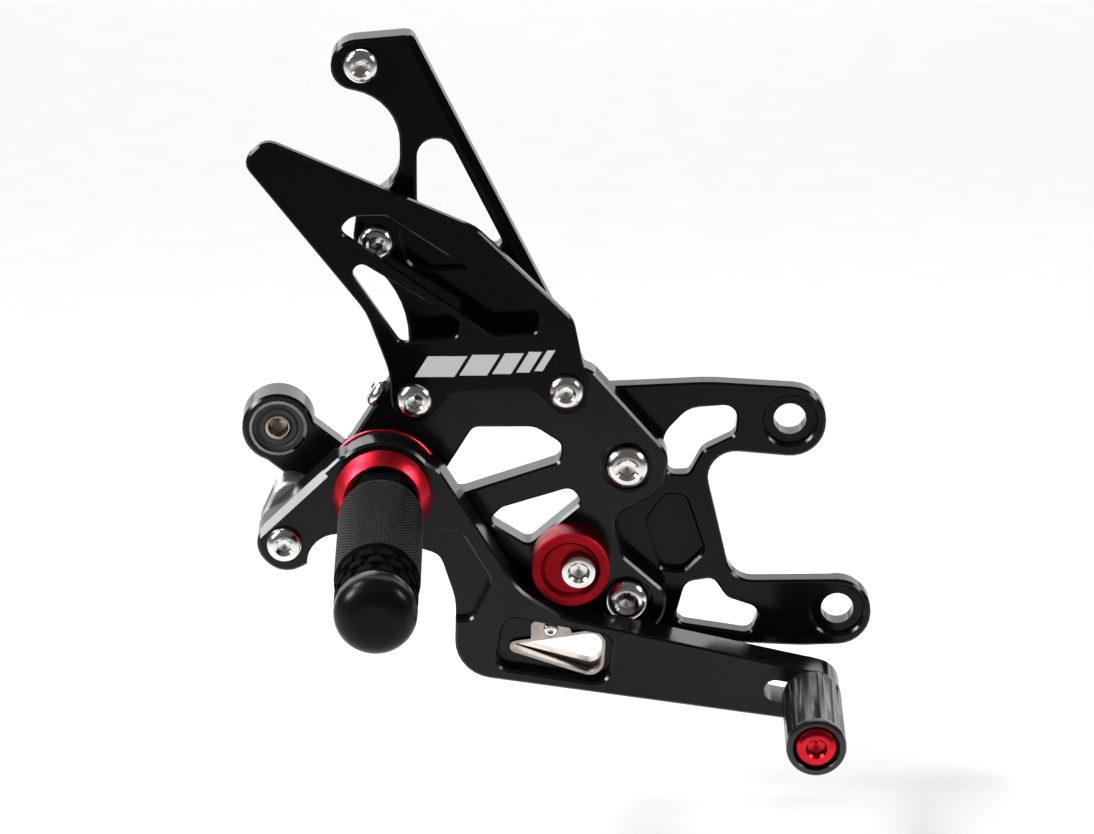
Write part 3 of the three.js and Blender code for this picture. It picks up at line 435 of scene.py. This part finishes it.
def smooth_shading_group(crease=40):
    """Merges a CAD node's vertices, and shades it smooth except across its creases."""
    group = bpy.data.node_groups.new("smooth_by_angle", "GeometryNodeTree")
    group.interface.new_socket("Geometry", in_out="INPUT", socket_type="NodeSocketGeometry")
    group.interface.new_socket("Geometry", in_out="OUTPUT", socket_type="NodeSocketGeometry")
    new = group.nodes.new
    start, end = new("NodeGroupInput"), new("NodeGroupOutput")
    merge = new("GeometryNodeMergeByDistance")
    merge.inputs["Distance"].default_value = 1e-6
    faces = new("GeometryNodeSetShadeSmooth")
    edges = new("GeometryNodeSetShadeSmooth")
    edges.domain = "EDGE"
    angle = new("GeometryNodeInputMeshEdgeAngle")
    flat = new("FunctionNodeCompare")
    flat.operation = "LESS_EQUAL"
    flat.inputs["B"].default_value = radians(crease)
    link = group.links.new
    link(start.outputs[0], merge.inputs["Geometry"])
    link(merge.outputs["Geometry"], faces.inputs["Geometry"])
    link(faces.outputs["Geometry"], edges.inputs["Geometry"])
    link(angle.outputs["Unsigned Angle"], flat.inputs["A"])
    link(flat.outputs["Result"], edges.inputs["Shade Smooth"])
    link(edges.outputs["Geometry"], end.inputs[0])
    return group


SMOOTH_BY_ANGLE = smooth_shading_group()


def dress(node, material):
    """Gives a CAD node its material and smooth shading. Its mesh stays as it is."""
    piece = NODES[node]
    piece.data.materials.clear()
    piece.data.materials.append(material)
    smooth = piece.modifiers.new("smooth", "NODES")
    smooth.node_group = SMOOTH_BY_ANGLE
    weighted = piece.modifiers.new("weighted", "WEIGHTED_NORMAL")
    weighted.keep_sharp = True
    weighted.mode = "FACE_AREA_WITH_ANGLE"


def middle(node):
    low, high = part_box(node)
    return (low + high) / 2


def on_axis(node, y):
    """A place at y on the axis of a round node."""
    place = middle(node)
    return Vector((place.x, y, place.z))


def extent(node):
    """Where a node starts and ends along Y in metres, and its length in millimetres."""
    low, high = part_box(node)
    return low.y, high.y, (high.y - low.y) / MM


# ---------------------------------------------------------------- finishes

PEG_AXIS = middle("peg_end_cap")
STOP_AXIS = middle("stop_bobbin")
TOE_AXIS = middle("toe_peg_sleeve")

RED = rgb(0.68, 0.022, 0.04)
DEEP_RED = rgb(0.5, 0.012, 0.022)
DULL_RED = rgb(0.35, 0.009, 0.017)
DEEP_DULL_RED = rgb(0.27, 0.006, 0.011)

bracket_black = black_anodised("bracket_black", 0.003, 0.13, ior=1.24)
hanger_black = black_anodised("hanger_black", 0.0035, 0.16)
guard_black = black_anodised("guard_black", 0.002, 0.1, ior=1.19)
lever_black = black_anodised("lever_black", 0.004, 0.17)
peg_black = knurled_black("peg_black", PEG_AXIS)
peg_red = turned_metal("peg_red", PEG_AXIS, RED, DEEP_RED, (0.24, 0.36))
stop_red = turned_metal("stop_red", STOP_AXIS, DULL_RED, DEEP_DULL_RED, (0.42, 0.55))
toe_red = turned_metal("toe_red", TOE_AXIS, RED, DEEP_RED)
stainless = bright_steel("stainless", rgb(0.86, 0.83, 0.79), rgb(0.66, 0.63, 0.6), (0.12, 0.22))
zinc = bright_steel("zinc", rgb(0.68, 0.67, 0.64), rgb(0.5, 0.49, 0.46), (0.28, 0.42))
spring_steel = bright_steel("spring_steel", rgb(0.32, 0.31, 0.3), rgb(0.2, 0.195, 0.19), (0.25, 0.4))
insert_steel = bright_steel("insert_steel", rgb(0.5, 0.42, 0.34), rgb(0.36, 0.3, 0.24), (0.16, 0.3))
liner_steel = bright_steel("liner_steel", rgb(0.42, 0.37, 0.33), rgb(0.3, 0.26, 0.23), (0.18, 0.3))
turned_steel = turned_metal("turned_steel", PEG_AXIS, rgb(0.6, 0.59, 0.57), rgb(0.45, 0.44, 0.42))
cap_black = moulded_black("cap_black", 0.003, 0.25, bump_strength=0.03, specular=0.12)
sleeve_black = moulded_black("sleeve_black", 0.006, 0.24, bump_strength=0.03)
bush_rubber = moulded_black("bush_rubber", 0.03, 0.5, grain_mm=0.4, bump_strength=0.2, specular=0.45)
engraved = etched("engraved")

dress("frame_bracket", bracket_black)
dress("hanger_plate", hanger_black)
dress("heel_guard", guard_black)
dress("master_cylinder_stay", guard_black)
dress("exhaust_hanger_arm", hanger_black)
dress("brake_lever", lever_black)
dress("stop_bobbin", stop_red)
dress("clevis", zinc)
dress("exhaust_bush_circlip", spring_steel)
dress("lever_pocket_liner", liner_steel)
dress("peg_end_cap_stud", stainless)
for name in ("lever_bearing_rear", "lever_bearing_front", "lever_bearing_shim", "peg_shaft_washer"):
    dress(name, turned_steel)

# ---------------------------------------------------------------- foot peg


def knurl(along):
    """The radius of a diamond knurl at a place along the peg."""

    def at(angle):
        round_the_peg = KNURL_TEETH * angle / tau
        one = abs(2 * ((round_the_peg + along / KNURL_PITCH) % 1) - 1)
        other = abs(2 * ((round_the_peg - along / KNURL_PITCH) % 1) - 1)
        return GRIP_RADIUS - KNURL_DEPTH * max(one, other, 0.15)

    return at


def notched(row):
    """The radius of a land with notches across it. Every other land is turned by half a notch."""
    pitch = tau / NOTCH_COUNT
    half = asin(NOTCH_WIDTH / 2 / GROOVE_RADIUS)

    def at(angle):
        offset = (angle - row * pitch / 2 + pitch / 2) % pitch - pitch / 2
        return GROOVE_RADIUS if abs(offset) < half else LAND_RADIUS

    return at


def barrel_angles():
    """Even angles for the knurl, with extra ones on both sides of every notch wall."""
    angles = even_angles(KNURL_TEETH * 4)
    half = asin(NOTCH_WIDTH / 2 / GROOVE_RADIUS)
    for middle_angle in even_angles(NOTCH_COUNT * 2):
        for wall in (-half, half):
            angles += [(middle_angle + wall + step) % tau for step in (-0.001, 0.001)]
    return sorted(angles)


def barrel_rows():
    neck = rolled(hexagon(NECK_FLAT), pi / 6)
    start = NECK_LENGTH
    end = start + GRIP_LENGTH
    rows = [(rolled(rounded_hexagon(NECK_FLAT, 10.2), pi / 6), 0), (neck, 0.4), (neck, start)]
    rows += [(GRIP_RADIUS - 1.0, start), (GRIP_RADIUS - 0.3, start + 0.7)]
    rows.append((GRIP_RADIUS - 0.3, start + KNURL_MARGIN))
    steps = round((GRIP_LENGTH - 2 * KNURL_MARGIN) / KNURL_PITCH * 4)
    for i in range(steps + 1):
        along = start + KNURL_MARGIN + i * KNURL_PITCH / 4
        rows.append((knurl(along), along))
    rows += [(GRIP_RADIUS - 0.25, end - 1.2), (GRIP_RADIUS - GRIP_CHAMFER, end - 0.1)]
    for row in range(GROOVE_COUNT):
        groove = end + row * GROOVE_PITCH
        land = groove + GROOVE_WIDTH
        last = groove + GROOVE_PITCH
        rows += [(GROOVE_RADIUS, groove + 0.25), (GROOVE_RADIUS, land)]
        rows += [(notched(row), land + 0.2), (notched(row), last - 0.1)]
    rows.append((GROOVE_RADIUS, end + GROOVE_COUNT * GROOVE_PITCH))
    return rows


def cap_rows(length, radius):
    flank = length * 0.35
    rows = [(radius - 0.6, 0), (radius - 0.15, 0.15), (radius, 0.6), (radius, flank)]
    steps = 20
    for i in range(1, steps + 1):
        turn = i / steps * pi / 2
        rows.append((radius * (0.35 + 0.65 * cos(turn)), flank + (length - flank) * sin(turn)))
    rows += [(radius * 0.2, length), (0.02, length)]
    return rows


def collar_rows():
    """A collar with a flat foot, a conical flank, and a recess that takes the neck."""
    return [
        (SHAFT_BORE, 0),
        (COLLAR_FOOT - 0.4, 0),
        (COLLAR_FOOT - 0.12, 0.12),
        (COLLAR_FOOT, 0.4),
        (COLLAR_FOOT, 1.1),
        (COLLAR_FOOT - 0.15, 1.35),
        (COLLAR_RIM + 0.75, COLLAR_HEIGHT - 0.2),
        (COLLAR_RIM + 0.5, COLLAR_HEIGHT),
        (COLLAR_RIM + 0.15, COLLAR_HEIGHT),
        (COLLAR_RIM, COLLAR_HEIGHT - 0.2),
        (COLLAR_RIM, COLLAR_FLOOR),
        (SHAFT_BORE, COLLAR_FLOOR),
    ]


def ring_rows(length):
    """The ring between the lever and the collar, with a flange at its outer end."""
    flange = length - RING_FLANGE
    return [
        (SHAFT_BORE, 0),
        (RING_RADIUS - 0.3, 0),
        (RING_RADIUS, 0.3),
        (RING_RADIUS, flange),
        (RING_FLANGE_RADIUS - 0.2, flange),
        (RING_FLANGE_RADIUS, flange + 0.2),
        (RING_FLANGE_RADIUS, length - 0.2),
        (RING_FLANGE_RADIUS - 0.2, length),
        (SHAFT_BORE, length),
    ]


def shaft_rows(length):
    """A plain shaft with a hexagon head, chamfered where it looks at the frame."""
    head = length - SHAFT_HEAD_HEIGHT
    corner = SHAFT_HEAD_FLAT / cos(pi / 6)
    return [
        (SHAFT_RADIUS - 0.8, 0),
        (SHAFT_RADIUS, 0.8),
        (SHAFT_RADIUS, head),
        (rounded_hexagon(SHAFT_HEAD_FLAT, corner), head),
        (rounded_hexagon(SHAFT_HEAD_FLAT, corner), length - 1.3),
        (rounded_hexagon(SHAFT_HEAD_FLAT, SHAFT_HEAD_FLAT * 1.01), length - 0.3),
        (SHAFT_HEAD_FLAT - 0.4, length - 0.05),
        (SHAFT_HEAD_FLAT - 1.4, length - 0.05),
        (SHAFT_HEAD_FLAT - 1.7, length - 0.4),
        (0.02, length - 0.4),
    ]


def foot_peg():
    """The peg and what sits on its shaft, all of them round the axis of the end cap."""

    def at(y):
        return on_axis("peg_end_cap", y)

    place = at(extent("peg_barrel")[1])
    barrel = turned("foot_peg_grip", barrel_rows(), place, OUT, peg_black, barrel_angles(), crease=28)
    stand_in(barrel, "base", "black_anodised", "peg_barrel")

    low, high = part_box("peg_end_cap")
    rows = cap_rows((high.y - low.y) / MM, (high.x - low.x) / 2 / MM)
    cap = turned("foot_peg_cap", rows, at(high.y), OUT, cap_black)
    stand_in(cap, "base", "black_plastic", "peg_end_cap")

    place = at(extent("peg_collar")[1])
    collar = turned("foot_peg_collar", collar_rows(), place, OUT, peg_red, closed=True)
    stand_in(collar, "base", "red_anodised", "peg_collar")

    _, back, length = extent("lever_spacer_ring")
    ring = turned("lever_ring", ring_rows(length), at(back), OUT, peg_red, closed=True)
    stand_in(ring, "base", "red_anodised", "lever_spacer_ring")


foot_peg()

# ---------------------------------------------------------------- screws and nuts

button_screw("hanger_bolt_upper", M8, stainless, "base")
button_screw("hanger_bolt_lower", M8, stainless, "base")
for name in ("guard_bolt_rear", "guard_bolt_front", "stay_bolt_upper", "stay_bolt_lower"):
    button_screw(name, M6, stainless, "base")
button_screw("arm_bolt", M6, stainless, "base", IN)
button_screw("clevis_bolt", M6, stainless, "lever")
button_screw("lever_pocket_screw", M2_5, stainless, "lever")
button_screw("spring_anchor_screw", M5, stainless, "base", ANCHOR_OUT, ANCHOR_SEAT * MM, ANCHOR_LENGTH)


def hex_nut(node, body, flat, bore=SCREW_BORE):
    """A nut along Y, chamfered at both ends."""
    front, _, length = extent(node)
    side = rounded_hexagon(flat, flat / cos(pi / 6))
    chamfer = rounded_hexagon(flat, flat * 1.03)
    rows = [
        (bore, 0.4),
        (bore + 0.4, 0),
        (flat * 0.95, 0),
        (chamfer, 0.25),
        (side, 1.0),
        (side, length - 1.0),
        (chamfer, length - 0.25),
        (flat * 0.95, length),
        (bore + 0.4, length),
        (bore, length - 0.4),
    ]
    piece = turned("nut_" + node, rows, on_axis(node, front), IN, zinc, 72, closed=True, crease=25)
    return stand_in(piece, body, "zinc_steel", node)


hex_nut("clevis_nut", "lever", 4.9)
hex_nut("toe_peg_nut", "toe_peg", 5.7)

shaft_front, _, shaft_length = extent("peg_shaft")
shaft_place = on_axis("peg_end_cap", shaft_front)
shaft = turned("foot_peg_shaft", shaft_rows(shaft_length), shaft_place, IN, zinc, 96, crease=25)
stand_in(shaft, "base", "stainless", "peg_shaft")


def cap_screw(node, size, body, material):
    """A socket cap screw with a chamfered rim."""
    seat, length = screw_place(node, size["rise"], OUT)
    head, rise, shank = size["head"], size["rise"], size["shank"]
    rows = [(shank * 0.7, -length), (shank * 0.9, -length + 0.5)]
    rows += thread_rows(shank, size["pitch"], -length + 0.5, -1)
    rows += [(shank * 0.92, -0.9), (shank * 0.92, 0), (head - 0.1, 0), (head, 0.1), (head, rise - 0.6)]
    rows += [(head - 0.15, rise - 0.2), (head - 0.5, rise), (size["socket"] * 1.3, rise)]
    rows += socket_rows(size, rise)
    piece = turned("screw_" + node, rows, seat, OUT, material, 72)
    return stand_in(piece, body, "stainless", node)


cap_screw("stop_bobbin_bolt", CAP_M6, "base", stainless)

# ---------------------------------------------------------------- toe peg


def fluted(radius):
    """The radius of the sleeve where its flutes run."""
    pitch = tau / FLUTE_COUNT
    half = FLUTE_WIDTH / 2 / SLEEVE_RADIUS

    def at(angle):
        offset = abs((angle + pitch / 2) % pitch - pitch / 2)
        if offset >= half:
            return radius
        return radius - FLUTE_DEPTH * sqrt(1 - (offset / half) ** 2)

    return at


def sleeve_rows(length):
    """A fluted tube whose outer end is sunk for the screw's head."""
    flutes = fluted(SLEEVE_RADIUS)
    return [
        (SCREW_BORE + 0.05, 0),
        (SLEEVE_RADIUS - 0.5, 0),
        (SLEEVE_RADIUS - 0.15, 0.15),
        (SLEEVE_RADIUS, 0.5),
        (SLEEVE_RADIUS, FLUTE_MARGIN - 0.9),
        (flutes, FLUTE_MARGIN),
        (flutes, length - FLUTE_MARGIN),
        (SLEEVE_RADIUS, length - FLUTE_MARGIN + 0.9),
        (SLEEVE_RADIUS, length - 1.0),
        (SLEEVE_RADIUS - 0.25, length - 0.35),
        (SLEEVE_RADIUS - 0.9, length),
        (TOE_SINK_RADIUS + 0.2, length),
        (TOE_SINK_RADIUS, length - 0.2),
        (TOE_SINK_RADIUS, length - TOE_SINK_DEPTH),
        (SCREW_BORE + 0.05, length - TOE_SINK_DEPTH),
    ]


def toe_screw_rows(length):
    """A screw with a wide head whose edge slopes in, from its tip to its socket."""
    tip = -(length - TOE_HEAD_HEIGHT)
    head = TOE_HEAD_RADIUS
    top = TOE_HEAD_HEIGHT
    rows = [(2.1, tip), (2.7, tip + 0.5)]
    rows += thread_rows(3.0, 1.0, tip + 0.5, tip + TOE_THREAD_LENGTH)
    rows += [(3.0, tip + TOE_THREAD_LENGTH + 0.5), (3.0, 0), (head - 0.1, 0), (head, 0.1), (head, top - 1.5)]
    rows += [(head - 0.15, top - 1.2), (4.75, top - 0.1), (4.55, top), (TOE_SOCKET["socket"] * 1.25, top)]
    return rows + socket_rows(TOE_SOCKET, top)


def toe_peg():
    _, back, length = extent("toe_peg_sleeve")
    place = on_axis("toe_peg_sleeve", back)
    angles = FLUTE_COUNT * 16
    sleeve = turned("toe_peg_grip", sleeve_rows(length), place, OUT, sleeve_black, angles, closed=True)
    stand_in(sleeve, "toe_peg", "black_plastic", "toe_peg_sleeve")

    front, _, length = extent("toe_peg_screw")
    place = on_axis("toe_peg_sleeve", front + TOE_HEAD_HEIGHT * MM)
    screw = turned("toe_peg_bolt", toe_screw_rows(length), place, OUT, toe_red, 72)
    stand_in(screw, "toe_peg", "red_anodised", "toe_peg_screw")


toe_peg()

# ---------------------------------------------------------------- exhaust hanger bush


def bush_rows(length):
    """A rubber bush with rounded edges and a groove in its outer face."""
    face = length - 0.35
    return [
        (BUSH_BORE, 0),
        (BUSH_RADIUS - 0.55, 0),
        (BUSH_RADIUS, 0.5),
        (BUSH_RADIUS, length - 0.5),
        (BUSH_RADIUS - 0.55, length),
        (6.4, length),
        (6.1, face),
        (5.7, face),
        (5.4, length),
        (BUSH_BORE, length),
    ]


def insert_rows(length):
    """The metal insert of the bush, with a socket in its outer end."""
    rows = [(INSERT_RADIUS - 0.3, 0), (INSERT_RADIUS, 0.3), (INSERT_RADIUS, length - 0.5)]
    rows += [(INSERT_RADIUS - 0.15, length - 0.1), (INSERT_RADIUS - 0.4, length), (3.0, length)]
    return rows + socket_rows(INSERT_SOCKET, length)


def exhaust_bush():
    _, back, length = extent("exhaust_bush")
    place = on_axis("exhaust_bush", back)
    bush = turned("hanger_bush", bush_rows(length), place, OUT, bush_rubber, closed=True)
    stand_in(bush, "base", "rubber", "exhaust_bush")

    _, back, length = extent("exhaust_bush_insert")
    place = on_axis("exhaust_bush", back)
    insert = turned("hanger_bush_insert", insert_rows(length), place, OUT, insert_steel, 72)
    stand_in(insert, "base", "stainless", "exhaust_bush_insert")


exhaust_bush()

# ---------------------------------------------------------------- engraved marks on the guard


def engraved_bar(name, corners, y):
    """A flat bar on the guard's face, from its [x, z] corners in millimetres."""
    front = y - ENGRAVING_HEIGHT * MM
    points = [Vector((x * MM, depth, z * MM)) for depth in (y, front) for x, z in corners]
    count = len(corners)
    faces = [tuple(range(count)), tuple(range(count, 2 * count))]
    faces += [(i, (i + 1) % count, (i + 1) % count + count, i + count) for i in range(count)]
    piece = mesh_object(name, points, faces, engraved)
    return stand_in(piece, "base", "stainless")


def slanted(x, z, width, height, lean):
    return [(x, z), (x + width, z), (x + width + lean, z + height), (x + lean, z + height)]


def guard_marks():
    y = extent("heel_guard")[0]
    x, z = MARK_START
    for index, width in enumerate(MARK_WIDTHS):
        bar = slanted(x, z + index * MARK_RISE, width, MARK_HEIGHT, MARK_LEAN)
        engraved_bar("guard_mark_%d" % (index + 1), bar, y)
        x += width + MARK_GAP


guard_marks()

# ---------------------------------------------------------------- stage, lights and camera

CENTRE = (CAD_BOX[0] + CAD_BOX[1]) / 2
LEVER_ROOM = 26.0  # millimetres below the part, for the lever's end at the bottom of its stroke
FLOOR_WIDTH = 12.0  # metres


def stage_floor():
    reach = FLOOR_WIDTH / 2
    z = CAD_BOX[0].z - LEVER_ROOM * MM
    corners = [(-reach, -reach), (reach, -reach), (reach, reach), (-reach, reach)]
    points = [Vector((x, y, z)) for x, y in corners]
    g = Graph("floor_paper")
    weave = g.noise(60.0, 6.0)
    pale = g.mix(weave, rgb(0.92, 0.92, 0.92), rgb(0.96, 0.96, 0.96))
    paper = g.finish(Base_Color=pale, Roughness=0.75, Normal=g.bump(weave, 0.02, 0.2), Specular_IOR_Level=0.2)
    floor = mesh_object("floor", points, [(0, 1, 2, 3)], paper)


def softbox(name, offset, size, power, spread=180.0):
    """A rectangular light at an offset from the object's centre, facing it. It shows in reflections only."""
    light = bpy.data.lights.new(name, "AREA")
    light.shape = "RECTANGLE"
    light.size, light.size_y = size
    light.energy = power
    light.spread = radians(spread)
    lamp = bpy.data.objects.new(name, light)
    lamp.location = CENTRE + Vector(offset)
    lamp.rotation_euler = (-Vector(offset)).to_track_quat("-Z", "Y").to_euler()
    lamp.visible_camera = False
    bpy.context.scene.collection.objects.link(lamp)


def studio():
    softbox("backdrop", (0.0, 1.7, 0.7), (3.4, 1.6), 38)
    softbox("key", (-0.95, 0.15, 1.15), (0.5, 0.4), 2.2, spread=80)
    softbox("side", (1.0, -0.25, 0.6), (0.25, 0.4), 0.3, spread=36)
    softbox("left", (-1.0, -0.3, 0.6), (0.35, 0.5), 1.0, spread=36)
    softbox("top", (0.1, 0.8, 1.3), (1.2, 0.35), 2.4, spread=120)
    world = bpy.data.worlds.new("studio")
    world.use_nodes = True
    background = world.node_tree.nodes["Background"]
    background.inputs["Color"].default_value = rgb(0.96, 0.98, 1.0)
    background.inputs["Strength"].default_value = 0.12
    bpy.context.scene.world = world


CAMERA_PLACE = Vector((-0.0263, -1.8783, 0.7375))
CAMERA_AIM = Vector((-0.0235, -0.02, 0.0385))
SENSOR = 36.0
LENS = 224.0


def camera():
    data = bpy.data.cameras.new("camera")
    data.sensor_width = SENSOR
    data.lens = LENS
    data.clip_end = 100
    view = bpy.data.objects.new("camera", data)
    view.location = CAMERA_PLACE
    view.rotation_euler = (CAMERA_AIM - CAMERA_PLACE).to_track_quat("-Z", "Y").to_euler()
    bpy.context.scene.collection.objects.link(view)
    bpy.context.scene.camera = view


stage_floor()
studio()
camera()
bpy.context.scene.view_settings.view_transform = "Standard"
